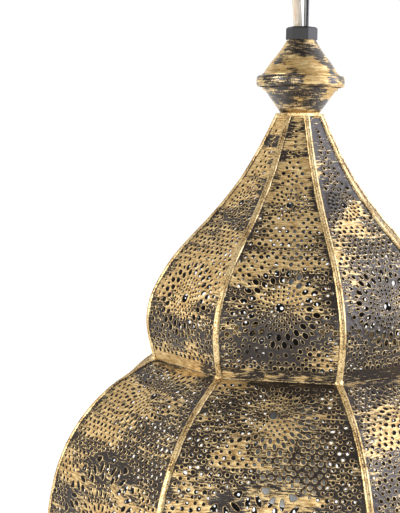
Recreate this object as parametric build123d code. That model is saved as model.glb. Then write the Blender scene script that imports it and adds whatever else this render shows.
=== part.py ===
"""A hanging lantern of punched sheet metal: an octagonal onion dome over a wide octagonal bowl.

It hangs by a coated wire loop from a ceiling hook, with its supply cable beside the loop, and holds one
screw-cap lamp. Millimetres, +Z up. The origin is the middle of the ceiling bracket's top face, so the
whole lantern lies below z = 0. A panel faces -Y.
"""
import os
from math import atan2, cos, pi, radians, sin, sqrt, tan

from build123d import *

os.makedirs("parts", exist_ok=True)

# Plan shape
SIDES = 8
half_side = 180 / SIDES  # degrees from the middle of a panel to its rib
to_flat = cos(radians(half_side))  # from a corner radius to the distance of the flat
loop_turn = 45  # degrees from +X to the direction of the hook's wire at its bend

# Shells
sheet = 0.7
mitre_gap = 0.12  # from a panel's edge to the corner plane
dome_height = 187.0
dome_top_radius = 18.7  # corner radii of the outer face
waist_radius = 111.0
dome_overhang = 6.0
dome_radius = waist_radius + dome_overhang
bowl_height = 190.0
bowl_radius = 193.5
waist_shadow = 0.7  # how far the bowl's top edge lies under the dome's lower edge
# The outlines: share of the way from the narrow radius to the wide one, share of the height
dome_outline = [(0.0, 1.0), (0.058, 0.936), (0.145, 0.850), (0.24, 0.765), (0.398, 0.652),
                (0.578, 0.545), (0.772, 0.435), (0.908, 0.328), (0.99, 0.218), (1.0, 0.155),
                (0.985, 0.095)]
bowl_outline = [(0.038, 0.0105), (0.194, 0.050), (0.40, 0.112), (0.606, 0.200), (0.776, 0.310),
                (0.903, 0.447), (0.976, 0.610), (1.0, 0.745), (0.965, 0.880), (0.84, 1.0)]

# Ribs and rings
rib_width = 2.75  # of each half, from the corner plane
rib_thickness = 1.2
waist_ring_height = 8.0
waist_ring_thickness = 1.2
waist_ring_gap = 0.1
rim_width = 5.0
rim_height = 4.5
rim_overhang = 1.2
top_plate_thickness = 2.0
top_plate_overhang = 0.7

# Finial
cone_wall = 1.0
finial_foot_radius = 14.8
finial_cone_radius = 29.0
lower_cone_height = 20.0
lower_cone_lip = 1.6
ring_radius = 33.9
ring_inner_radius = 25.0
ring_height = 8.5
upper_cone_height = 27.5
upper_cone_base_radius = 30.0

# Bush, loop and its anchor
bush_head_height = 9.6
bush_shoulder = 1.0  # of the hexagonal head beyond the stem
bush_stem_wall = 2.0
bush_stem_length = 14.4
bush_bore_gap = 0.4
lock_nut_shoulder = 1.75
lock_nut_height = 5.0
thread_gap = 0.1
loop_wire = 3.8
loop_drop = 62.0  # from the hook's wire down to the bush's top
loop_gap = 0.3  # between the loop and the hook's wire
splay_bend = 3.0  # wire that a bend takes up on each side of its corner
anchor_plate_margin = 4.5
anchor_plate_thickness = 3.0
ferrule_wall = 1.6
ferrule_length = 12.0
ferrule_gap = 1.1  # to the tie nut's corners

# Supply cable, tie tube and lamp holder
cable_diameter = 6.5
cable_gap = 0.75  # in the tie tube and the grommet
lead_swerve = 10.0  # height in which the inner lead crosses from the bush to the tie tube
lead_bend = 32.5  # radius
lead_margin = 0.046  # from where the inner lead is back on the axis down to the anchor plate
tube_wall = 1.0
tube_above_plate = 6.0
tube_in_holder = 8.0
tie_nut_shoulder = 1.4
tie_nut_height = 5.0
holder_drop = 157.0  # from the top plate down to the top of the holder
holder_cap_height = 15.0
holder_cap_wall = 2.5
holder_height = 51.0
holder_wall = 6.7
holder_skirt_height = 11.0
holder_step = 1.5  # of the skirt, in from the holder's body
shell_wall = 0.6
contact_radius = 4.5
contact_spring = 4.0  # room for the centre contact over the lamp

# Lamp, with an E27 cap
cap_radius = 13.2
cap_length = 25.0
cap_gap = 0.5
lamp_radius = 30.0
lamp_length = 110.0
housing_length = 40.0
housing_lip = 0.6
globe_wall = 1.2

# Ceiling fitting
hook_wire = 6.0
hook_radius = 10.0  # of the hook's centreline
hook_drop = 92.0  # from the ceiling down to the wire's centre at the hook's bend
canopy_radius = 50.0
canopy_height = 34.0
canopy_wall = 1.0
canopy_shoulder = 16.0
shaft_gap = 0.15
collar_radius = 7.0
collar_height = 10.0
bracket_gap = 7.0  # from the bracket's ends to the canopy's wall
bracket_width = 30.0
bracket_thickness = 3.0
screw_spacing = 60.0
screw_hole_radius = 2.6
terminal_size = (22.0, 16.0, 15.5)
grommet_neck = 5.0
grommet_lip = 1.5
grommet_margin = 1.25  # from the grommet's lip to the canopy's rounded shoulder

# The inner lead crosses from beside the loop to the axis between the bush and the anchor plate
cable_offset = 0.48 * cable_diameter  # the cable lies beside the plane of the loop's legs
swerve_turn = atan2(cable_offset, lead_swerve)
swerve_drop = 1.01 * lead_bend * tan(swerve_turn / 2)  # from the bush down to the first bend's corner
splay_height = swerve_drop + lead_swerve + lead_bend * tan(swerve_turn / 2) + lead_margin

# Heights, each from the one above it
hook_z = -hook_drop
bush_top = hook_z - loop_drop
cone_top = bush_top - bush_head_height
ring_top = cone_top - upper_cone_height
ring_bottom = ring_top - ring_height
foot_z = ring_bottom - lower_cone_height
dome_top = foot_z - top_plate_thickness
waist_z = dome_top - dome_height
bowl_bottom = waist_z - bowl_height
stem_bottom = cone_top - bush_stem_length
anchor_top = stem_bottom - splay_height
anchor_bottom = anchor_top - anchor_plate_thickness
tube_top = anchor_top + tube_above_plate
holder_top = dome_top - holder_drop
body_top = holder_top - holder_cap_height
mouth_z = body_top - holder_height
lamp_top = mouth_z + cap_length
lamp_bottom = lamp_top - lamp_length
cap_bottom = lamp_top - cap_length
housing_bottom = cap_bottom - housing_length
terminal_bottom = -bracket_thickness - terminal_size[2]

leg_way = Vector(sin(radians(loop_turn)), -cos(radians(loop_turn)), 0)  # from the axis to a leg
wire_way = Vector(cos(radians(loop_turn)), sin(radians(loop_turn)), 0)  # along the hook's wire

# Sizes of what fits together
loop_radius = (hook_wire + loop_wire) / 2 + loop_gap
cable_place = wire_way * -cable_offset
bush_bore_radius = max(loop_radius + loop_wire / 2, cable_offset + cable_diameter / 2) + bush_bore_gap
bush_stem_radius = bush_bore_radius + bush_stem_wall
bush_across_flats = 2 * (bush_stem_radius + bush_shoulder)
lock_nut_across_flats = 2 * (bush_stem_radius + lock_nut_shoulder)
upper_cone_top_radius = bush_across_flats / 2 + bush_shoulder / 2
tube_bore_radius = cable_diameter / 2 + cable_gap
tube_radius = tube_bore_radius + tube_wall
tie_nut_across_flats = 2 * (tube_radius + tie_nut_shoulder)
ferrule_radius = loop_wire / 2 + ferrule_wall
loop_splay_radius = tie_nut_across_flats / sqrt(3) + ferrule_gap + ferrule_radius
anchor_plate_radius = loop_splay_radius + ferrule_radius + anchor_plate_margin
chamber_radius = cap_radius + cap_gap + shell_wall
chamber_top = lamp_top + contact_spring
holder_radius = chamber_radius + holder_wall
holder_cap_radius = holder_radius - 4
housing_top_radius = cap_radius + housing_lip
bracket_length = 2 * (canopy_radius - canopy_wall - bracket_gap)
grommet_radius = grommet_neck + grommet_lip
grommet_reach = canopy_radius - canopy_shoulder - grommet_margin - grommet_radius
grommet_place = (-grommet_reach * 0.762, -grommet_reach * 0.648)  # 40 degrees round from -X


def save(node, shape):
    """Write one node, with its solids, to its own STEP file."""
    shape.label = node
    export_step(shape, f"parts/{node}.step")


def ring(outer, inner, bottom, height):
    """A round ring or disc."""
    body = Cylinder(outer, height, align=(Align.CENTER, Align.CENTER, Align.MIN))
    if inner:
        body -= Cylinder(inner, height, align=(Align.CENTER, Align.CENTER, Align.MIN))
    return Pos(0, 0, bottom) * body


def hexagon(across_flats, bore, bottom, height, chamfer_size=0.8):
    """A hexagonal nut or head with a round bore and chamfered rims."""
    body = extrude(RegularPolygon(across_flats / 2, 6, major_radius=False), height)
    body = chamfer(body.faces().sort_by(Axis.Z)[-1].edges(), chamfer_size)
    return Pos(0, 0, bottom) * body - ring(bore, 0, bottom - 1, height + 2)


def turned(points):
    """A solid of revolution about Z from a closed outline of (radius, z) points."""
    outline = Polyline(*[(r, 0, z) for r, z in points], close=True)
    return revolve(make_face(outline), Axis.Z)


def octagon(corner_radius, bottom, height):
    """An octagonal plate with flats towards the axes."""
    return Pos(0, 0, bottom) * extrude(RegularPolygon(corner_radius, SIDES, rotation=half_side), height)


def parallel(curve, gap, samples=28):
    """The curve beside an outline in the YZ plane, at a gap measured outwards from it."""
    places = []
    for i in range(samples + 1):
        tangent = curve % (i / samples)
        places.append(curve @ (i / samples) + Vector(0, tangent.Z, -tangent.Y) * gap)
    return Spline(*places)


def band(inner, outer, half_length):
    """The solid between two outlines in the YZ plane, drawn out along X to both sides."""
    face = make_face([inner, Line(inner @ 1, outer @ 1), outer, Line(outer @ 0, inner @ 0)])
    return extrude(face, half_length, dir=(1, 0, 0), both=True)


def wedge(gap, reach):
    """The space of one panel: a prism between its two corner planes, kept a gap from each."""
    tip = gap / sin(radians(half_side))
    side = (reach - tip) * tan(radians(half_side))
    plan = Polyline((0, -tip), (side, -reach), (-side, -reach), close=True)
    return Pos(0, 0, bowl_bottom - reach) * extrude(make_face(plan), 3 * reach)


def rib(outline, bottom, top):
    """A folded strip over one corner between two heights, as two halves that follow their panels."""
    reach = 2 * bowl_radius
    way = Vector(sin(radians(half_side)), -cos(radians(half_side)), 0)
    inwards = Vector(-cos(radians(half_side)), -sin(radians(half_side)), 0)
    start = way * 4
    strip = Polyline(start, way * reach, way * reach + inwards * rib_width,
                     start + inwards * rib_width, close=True)
    space = Pos(0, 0, bottom) * extrude(make_face(strip), top - bottom)
    half = band(outline, parallel(outline, rib_thickness), bowl_radius) & space
    return half + mirror(half, Plane(origin=(0, 0, 0), z_dir=inwards))


def swept(path, radius):
    """A round wire along a path."""
    start = Plane(origin=path @ 0, z_dir=path % 0)
    return sweep(start * Circle(radius), path=path)


def route(points):
    """A path of straight runs joined by arcs as large as the runs allow; it prints their radii."""
    places = [Vector(*p) for p in points]
    radii = []
    for a, b, c in zip(places, places[1:], places[2:]):
        turn = (b - a).get_angle(c - b)
        radii.append(0.45 * min((b - a).length, (c - b).length) / tan(radians(turn / 2)))
    print("arc radii:", [round(r, 1) for r in radii])
    return FilletPolyline(*places, radius=radii)


# --- Shells: panels, ribs, rings ---
dome_points = [(dome_top_radius + (dome_radius - dome_top_radius) * out, dome_height * up)
               for out, up in dome_outline] + [(waist_radius, 0.0)]
bowl_points = [(waist_radius + (bowl_radius - waist_radius) * out, -bowl_height * down)
               for out, down in bowl_outline]
bowl_points = [(waist_radius - sheet / 2, -waist_shadow)] + bowl_points
dome_curve = Spline(*[(0, -r * to_flat, waist_z + h) for r, h in dome_points])
bowl_curve = Spline(*[(0, -r * to_flat, waist_z + h) for r, h in bowl_points])

dome_panel = band(parallel(dome_curve, -sheet), dome_curve, bowl_radius) & wedge(mitre_gap, 2 * bowl_radius)
bowl_panel = band(parallel(bowl_curve, -sheet), bowl_curve, bowl_radius) & wedge(mitre_gap, 2 * bowl_radius)
dome_rib = rib(dome_curve, waist_z, dome_top)
bowl_rib_start = (rib_thickness + sheet) / bowl_curve.length * 1.6
bowl_rib = rib(bowl_curve.trim(bowl_rib_start, 1), bowl_bottom, waist_z)
for k in range(SIDES):
    turn_k = Rot(0, 0, k * 360 / SIDES)
    save(f"dome_panel_{k + 1}", turn_k * dome_panel)
    save(f"bowl_panel_{k + 1}", turn_k * bowl_panel)
    save(f"dome_rib_{k + 1}", turn_k * dome_rib)
    save(f"bowl_rib_{k + 1}", turn_k * bowl_rib)

ring_corner = waist_radius - (sheet + waist_ring_gap) / to_flat
ring_bottom_z = waist_z - waist_shadow
save("waist_ring", octagon(ring_corner, ring_bottom_z, waist_ring_height)
     - octagon(ring_corner - waist_ring_thickness / to_flat, ring_bottom_z, waist_ring_height))
rim_corner = bowl_points[-1][0] + rim_overhang
rim = octagon(rim_corner, bowl_bottom - rim_height, rim_height)
rim -= octagon(rim_corner - rim_width, bowl_bottom - rim_height, rim_height)
rim = fillet(rim.faces().sort_by(Axis.Z)[0].edges(), rim_height / 4)
save("bottom_rim", rim)
top_plate = octagon(dome_top_radius + top_plate_overhang, dome_top, top_plate_thickness)
save("top_plate", top_plate - ring(tube_radius + thread_gap, 0, dome_top, top_plate_thickness))

# --- Finial: two spun cones and the bead between them ---
lip_z = ring_bottom - lower_cone_lip
save("finial_lower_cone", turned([
    (tube_radius + thread_gap, foot_z), (finial_foot_radius, foot_z), (finial_cone_radius, lip_z),
    (finial_cone_radius, ring_bottom), (finial_cone_radius - cone_wall, ring_bottom),
    (finial_cone_radius - cone_wall, lip_z), (finial_foot_radius - cone_wall, foot_z + cone_wall),
    (tube_radius + thread_gap, foot_z + cone_wall)]))
bead = Pos(0, 0, ring_bottom) * revolve(
    Plane.XZ * (Pos((ring_inner_radius + ring_radius) / 2, ring_height / 2)
                * RectangleRounded(ring_radius - ring_inner_radius, ring_height, ring_height * 0.42)),
    Axis.Z)
save("finial_ring", bead)
save("finial_upper_cone", turned([
    (upper_cone_base_radius, ring_top), (upper_cone_top_radius, cone_top),
    (bush_stem_radius + thread_gap, cone_top), (bush_stem_radius + thread_gap, cone_top - cone_wall),
    (upper_cone_top_radius - cone_wall, cone_top - cone_wall), (upper_cone_base_radius - cone_wall, ring_top)]))

# --- Bush, its lock nut, and the anchor of the wire loop ---
bush = hexagon(bush_across_flats, bush_bore_radius, cone_top, bush_head_height, 1.2)
save("top_bush", bush + ring(bush_stem_radius, bush_bore_radius, stem_bottom, bush_stem_length))
lock_nut_top = stem_bottom + lock_nut_height + 2
save("bush_lock_nut", hexagon(lock_nut_across_flats, bush_stem_radius + thread_gap,
                              lock_nut_top - lock_nut_height, lock_nut_height))
leg_holes = [Pos(*(leg_way * side * loop_splay_radius)) for side in (-1, 1)]
anchor_plate = ring(anchor_plate_radius, tube_radius + thread_gap, anchor_bottom, anchor_plate_thickness)
for place in leg_holes:
    anchor_plate -= place * ring(loop_wire / 2 + loop_gap, 0, anchor_bottom, anchor_plate_thickness)
save("anchor_plate", anchor_plate)
ferrules = [place * ring(ferrule_radius, loop_wire / 2, anchor_bottom - ferrule_length, ferrule_length)
            for place in leg_holes]
save("wire_ferrules", Compound(children=ferrules))

# --- The loop: one coated wire, bent over the hook, with its legs spread to the ferrules ---
splay_corner = [(loop_radius, stem_bottom - splay_bend), (loop_splay_radius, anchor_top + splay_bend)]
splay_turn = atan2(loop_splay_radius - loop_radius, splay_height - 2 * splay_bend)
splay_arc = splay_bend / tan(splay_turn / 2)
leg_ends = [(loop_radius, hook_z), *splay_corner, (loop_splay_radius, anchor_bottom - ferrule_length)]
right_leg = FilletPolyline(*[leg_way * r + Vector(0, 0, z) for r, z in reversed(leg_ends)], radius=splay_arc)
left_leg = FilletPolyline(*[leg_way * -r + Vector(0, 0, z) for r, z in leg_ends], radius=splay_arc)
over_hook = ThreePointArc(right_leg @ 1, Vector(0, 0, hook_z + loop_radius), left_leg @ 0)
save("hanging_loop", swept(Wire([*right_leg.edges(), over_hook, *left_leg.edges()]), loop_wire / 2))

# --- Tie tube, nuts and lamp holder ---
tube_bottom = holder_top - tube_in_holder
save("tie_tube", ring(tube_radius, tube_bore_radius, tube_bottom, tube_top - tube_bottom))
nut_bottoms = [anchor_top, anchor_bottom - tie_nut_height, dome_top - tie_nut_height]
save("tie_nuts", Compound(children=[
    hexagon(tie_nut_across_flats, tube_radius + thread_gap, bottom, tie_nut_height) for bottom in nut_bottoms]))
cap_inside = holder_cap_radius - holder_cap_wall
holder_cap = turned([
    (tube_radius + thread_gap, holder_top), (holder_cap_radius * 0.6, holder_top),
    (holder_cap_radius, holder_top - 5), (holder_cap_radius, body_top), (cap_inside, body_top),
    (cap_inside, holder_top - 6), (holder_cap_radius * 0.55, holder_top - 3),
    (tube_radius + thread_gap, holder_top - 3)])
save("holder_cap", holder_cap)
skirt_top = mouth_z + holder_skirt_height
skirt_radius = holder_radius - holder_step
holder_body = turned([
    (holder_cap_radius, body_top), (holder_radius, body_top - 6), (holder_radius, skirt_top + 1),
    (skirt_radius, skirt_top), (skirt_radius, mouth_z),
    (chamber_radius + 0.5, mouth_z), (chamber_radius, mouth_z + 1.5),
    (chamber_radius, chamber_top), (cable_diameter / 2 + 1, chamber_top),
    (cable_diameter / 2 + 1, body_top)])
save("holder_body", holder_body)
screw_shell = ring(chamber_radius, cap_radius + cap_gap, mouth_z + 3, cap_length - 5)
centre_contact = ring(contact_radius, 0, lamp_top + 0.4, chamber_top - lamp_top - 0.4)
save("holder_contacts", Compound(children=[screw_shell, centre_contact]))

# --- Lamp ---
cap_bore = cap_radius - shell_wall
save("bulb_screw_cap", turned([
    (cap_bore, cap_bottom), (cap_radius, cap_bottom), (cap_radius, lamp_top - 5), (8.0, lamp_top - 2),
    (contact_radius, lamp_top - 2), (contact_radius, lamp_top - 2 - shell_wall),
    (7.7, lamp_top - 2 - shell_wall), (cap_bore, lamp_top - 5 - shell_wall)]))
save("bulb_contact", ring(contact_radius, 0, lamp_top - 3, 3))
save("bulb_housing", turned([
    (0, cap_bottom + 3), (cap_bore, cap_bottom + 3), (cap_bore, cap_bottom),
    (housing_top_radius, cap_bottom), (housing_top_radius + 1.2, cap_bottom - 6),
    (lamp_radius * 0.66, cap_bottom - 0.55 * housing_length), (lamp_radius * 0.94, housing_bottom + 4),
    (lamp_radius * 0.94, housing_bottom), (0, housing_bottom)]))
globe_height = housing_bottom - lamp_bottom
globe_outside = Spline((lamp_radius * 0.94, 0, housing_bottom), (lamp_radius, 0, housing_bottom - 0.32 * globe_height),
                       (lamp_radius * 0.76, 0, lamp_bottom + 0.21 * globe_height), (0, 0, lamp_bottom),
                       tangents=((0.4, 0, -1), (-1, 0, 0)))
globe_inside = Spline((lamp_radius * 0.94 - globe_wall, 0, housing_bottom),
                      (lamp_radius - globe_wall, 0, housing_bottom - 0.32 * globe_height),
                      (lamp_radius * 0.76 - globe_wall, 0, lamp_bottom + 0.21 * globe_height + globe_wall * 0.6),
                      (0, 0, lamp_bottom + globe_wall), tangents=((0.4, 0, -1), (-1, 0, 0)))
globe_face = make_face([globe_outside, Line(globe_outside @ 1, globe_inside @ 1), globe_inside,
                        Line(globe_inside @ 0, globe_outside @ 0)])
save("bulb_globe", revolve(globe_face, Axis.Z))

# --- Ceiling bracket, hook, canopy and terminal block ---
bracket = Pos(0, 0, -bracket_thickness) * extrude(
    RectangleRounded(bracket_length, bracket_width, 6), bracket_thickness)
bracket -= ring(hook_wire / 2, 0, -bracket_thickness, bracket_thickness)
for side in (-1, 1):
    bracket -= Pos(side * screw_spacing / 2, 0, 0) * ring(screw_hole_radius, 0, -bracket_thickness, bracket_thickness)
save("ceiling_bracket", bracket)

hook_centre = hook_z + hook_radius
shank_end = hook_centre + sqrt(3) * hook_radius
shank = Line((0, 0, -0.3), (0, 0, shank_end))
offset_arc = ThreePointArc(shank @ 1, wire_way * (hook_radius * (1 - cos(radians(30))))
                           + Vector(0, 0, shank_end - hook_radius * sin(radians(30))),
                           wire_way * (hook_radius / 2) + Vector(0, 0, shank_end - hook_radius * sqrt(3) / 2))
tip_angle = radians(150)
eye_arc = ThreePointArc(offset_arc @ 1, Vector(0, 0, hook_z),
                        wire_way * (hook_radius * cos(tip_angle))
                        + Vector(0, 0, hook_centre + hook_radius * sin(tip_angle)))
hook = swept(Wire([shank, offset_arc, eye_arc]), hook_wire / 2)
hook += Pos(*(eye_arc @ 1)) * Sphere(hook_wire / 2)
save("ceiling_hook", hook)

canopy_bottom = -canopy_height
rim_end = canopy_bottom + canopy_shoulder


def canopy_skin(inset):
    """The canopy's outline from its rim, round its shoulder and in to the hook, moved in by a wall."""
    corner = (canopy_radius - inset, rim_end)
    below = (canopy_radius - canopy_shoulder, canopy_bottom + inset)
    middle = (canopy_radius - canopy_shoulder + (canopy_shoulder - inset) * sin(radians(45)),
              rim_end - (canopy_shoulder - inset) * sin(radians(45)))
    return [Line((canopy_radius - inset, 0, 0), (corner[0], 0, corner[1])),
            ThreePointArc((corner[0], 0, corner[1]), (middle[0], 0, middle[1]), (below[0], 0, below[1])),
            Line((below[0], 0, below[1]), (hook_wire / 2 + shaft_gap, 0, below[1]))]


outside, inside = canopy_skin(0), canopy_skin(canopy_wall)
canopy_face = make_face([*outside, Line(outside[-1] @ 1, inside[-1] @ 1), *inside,
                         Line(inside[0] @ 0, outside[0] @ 0)])
canopy = revolve(canopy_face, Axis.Z)
grommet_at = Pos(*grommet_place, 0)
canopy -= grommet_at * ring(grommet_neck, 0, canopy_bottom - 1, canopy_wall + 2)
save("canopy_cup", canopy)
grommet = ring(grommet_radius, 0, canopy_bottom - grommet_lip, grommet_lip)
grommet += ring(grommet_neck, 0, canopy_bottom, canopy_wall)
grommet += ring(grommet_radius, 0, canopy_bottom + canopy_wall, grommet_lip)
grommet -= ring(cable_diameter / 2 + cable_gap, 0, canopy_bottom - grommet_lip, canopy_wall + 2 * grommet_lip)
save("cable_grommet", grommet_at * grommet)
collar = ring(collar_radius, hook_wire / 2 + shaft_gap, canopy_bottom - collar_height, collar_height)
collar = chamfer(collar.faces().sort_by(Axis.Z)[0].edges().sort_by(SortBy.RADIUS)[-1], 1.2)
save("hook_collar", collar)
terminal = Pos(*grommet_place, terminal_bottom) * Box(
    *terminal_size, align=(Align.CENTER, Align.CENTER, Align.MIN))
save("terminal_block", fillet(terminal.edges().filter_by(Axis.Z), 1.5))

# --- Cable: from the terminal block down beside the hook and through the bush to the holder ---
cable_route = [
    (cable_place.X, cable_place.Y, stem_bottom),
    (cable_place.X, cable_place.Y, -127.0),
    (*grommet_place, -74.0),
    (*grommet_place, terminal_bottom),
]
cable_path = route(cable_route)
cable = swept(cable_path, cable_diameter / 2)
print("supply cable:", round(cable_path.length, 1), "mm long, share of its length times section:",
      round(cable.volume / (cable_path.length * pi * cable_diameter ** 2 / 4), 3))
save("supply_cable", cable)
swerve_start = stem_bottom - swerve_drop
lead = FilletPolyline((cable_place.X, cable_place.Y, stem_bottom), (cable_place.X, cable_place.Y, swerve_start),
                      (0, 0, swerve_start - lead_swerve), (0, 0, chamber_top), radius=lead_bend)
save("inner_lead", swept(lead, cable_diameter / 2))
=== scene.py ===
"""A hanging lantern of eight punched sheet panels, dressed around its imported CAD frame.

The shells are flat sheets with their holes punched in the flat, then rolled to the outline of the CAD panels.
Everything is in metres, in the frame of the CAD model: the ceiling is the plane z = 0 and one panel faces -Y.
"""

from __future__ import annotations

import logging
import math
from dataclasses import dataclass
from enum import Enum
from typing import Callable, Sequence

import bpy
import numpy as np
from bpy.types import ID, Material, Mesh, Node, NodeSocket, Object, World
from mathutils import Matrix, Vector
from mathutils.geometry import delaunay_2d_cdt

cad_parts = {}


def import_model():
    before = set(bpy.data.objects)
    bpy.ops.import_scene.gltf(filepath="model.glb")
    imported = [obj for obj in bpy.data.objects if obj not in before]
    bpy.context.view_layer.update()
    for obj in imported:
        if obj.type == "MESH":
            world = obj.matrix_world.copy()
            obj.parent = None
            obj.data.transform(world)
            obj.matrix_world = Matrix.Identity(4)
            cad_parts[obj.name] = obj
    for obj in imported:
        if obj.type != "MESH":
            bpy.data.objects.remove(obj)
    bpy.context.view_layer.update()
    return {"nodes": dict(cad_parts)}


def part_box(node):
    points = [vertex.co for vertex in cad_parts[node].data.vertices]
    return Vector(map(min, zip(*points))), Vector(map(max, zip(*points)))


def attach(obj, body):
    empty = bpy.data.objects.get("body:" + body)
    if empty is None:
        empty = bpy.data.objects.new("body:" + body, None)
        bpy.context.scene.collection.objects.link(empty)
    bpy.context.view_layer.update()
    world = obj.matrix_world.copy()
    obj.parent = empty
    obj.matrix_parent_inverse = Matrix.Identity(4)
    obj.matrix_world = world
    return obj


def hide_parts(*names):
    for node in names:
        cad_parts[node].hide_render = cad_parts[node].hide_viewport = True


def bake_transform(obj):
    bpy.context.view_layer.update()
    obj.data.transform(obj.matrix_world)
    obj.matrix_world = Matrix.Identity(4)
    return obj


LOG = logging.getLogger("lantern")
MM = 0.001
SIDES = 8
SIDE = math.tau / SIDES
HALF_SIDE = SIDE / 2
TO_CORNER = math.tan(HALF_SIDE)
Colour = tuple[float, float, float]
Point = tuple[float, float, float]


class Slot(Enum):
    """Names of material slots for the new pieces; nothing in this script uses them."""

    SHEET = "punched_sheet"
    TRIM = "folded_trim"
    FINIAL = "finial_metal"
    CABLE = "clear_cable"


def deselect_all() -> None:
    """Leaves nothing selected, so that an operator acts only on the next piece."""
    bpy.ops.object.select_all(action="DESELECT")


def choose(piece: Object) -> None:
    """Makes one piece the only selected and active one.

    Args:
        piece: The piece that the next operators act on.
    """
    deselect_all()
    piece.select_set(True)
    bpy.context.view_layer.objects.active = piece


def linear(red: int, green: int, blue: int) -> Colour:
    """Turns a screen colour into the linear colour that shaders use.

    Args:
        red: Red, from 0 to 255.
        green: Green, from 0 to 255.
        blue: Blue, from 0 to 255.

    Returns:
        The colour as three linear shares.
    """
    return tuple(
        c / 12.92 if c <= 0.04045 else ((c + 0.055) / 1.055) ** 2.4
        for c in (v / 255 for v in (red, green, blue))
    )


# --- Shader maths ---


class Value:
    """A socket that is written in plain expressions, each of which adds its Math node."""

    def __init__(self, shader: Shader, socket: NodeSocket) -> None:
        """Wraps one output.

        Args:
            shader: The shader that new nodes are added to.
            socket: The output that carries the number.
        """
        self.shader, self.socket = shader, socket

    def _math(self, operation: str, first: Value | float, second: Value | float) -> Value:
        """Adds a Math node.

        Args:
            operation: The node's operation.
            first: The first operand.
            second: The second operand.

        Returns:
            The node's result.
        """
        made = self.shader.node("ShaderNodeMath", {"operation": operation}, {0: first, 1: second})
        return Value(self.shader, made.outputs[0])

    def __add__(self, other: Value | float) -> Value:
        """Sum."""
        return self._math("ADD", self, other)

    __radd__ = __add__

    def __sub__(self, other: Value | float) -> Value:
        """Difference."""
        return self._math("SUBTRACT", self, other)

    def __rsub__(self, other: float) -> Value:
        """Difference from a number."""
        return self._math("SUBTRACT", other, self)

    def __mul__(self, other: Value | float) -> Value:
        """Product."""
        return self._math("MULTIPLY", self, other)

    def step(self, low: float, high: float) -> Value:
        """Rises smoothly from 0 at low to 1 at high.

        Args:
            low: Where the rise starts.
            high: Where it ends.

        Returns:
            The eased share.
        """
        made = self.shader.node(
            "ShaderNodeMapRange",
            {"interpolation_type": "SMOOTHSTEP"},
            {"Value": self, "From Min": low, "From Max": high},
        )
        return Value(self.shader, made.outputs[0])

    def most(self, other: Value | float) -> Value:
        """The larger of the two."""
        return self._math("MAXIMUM", self, other)


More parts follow.
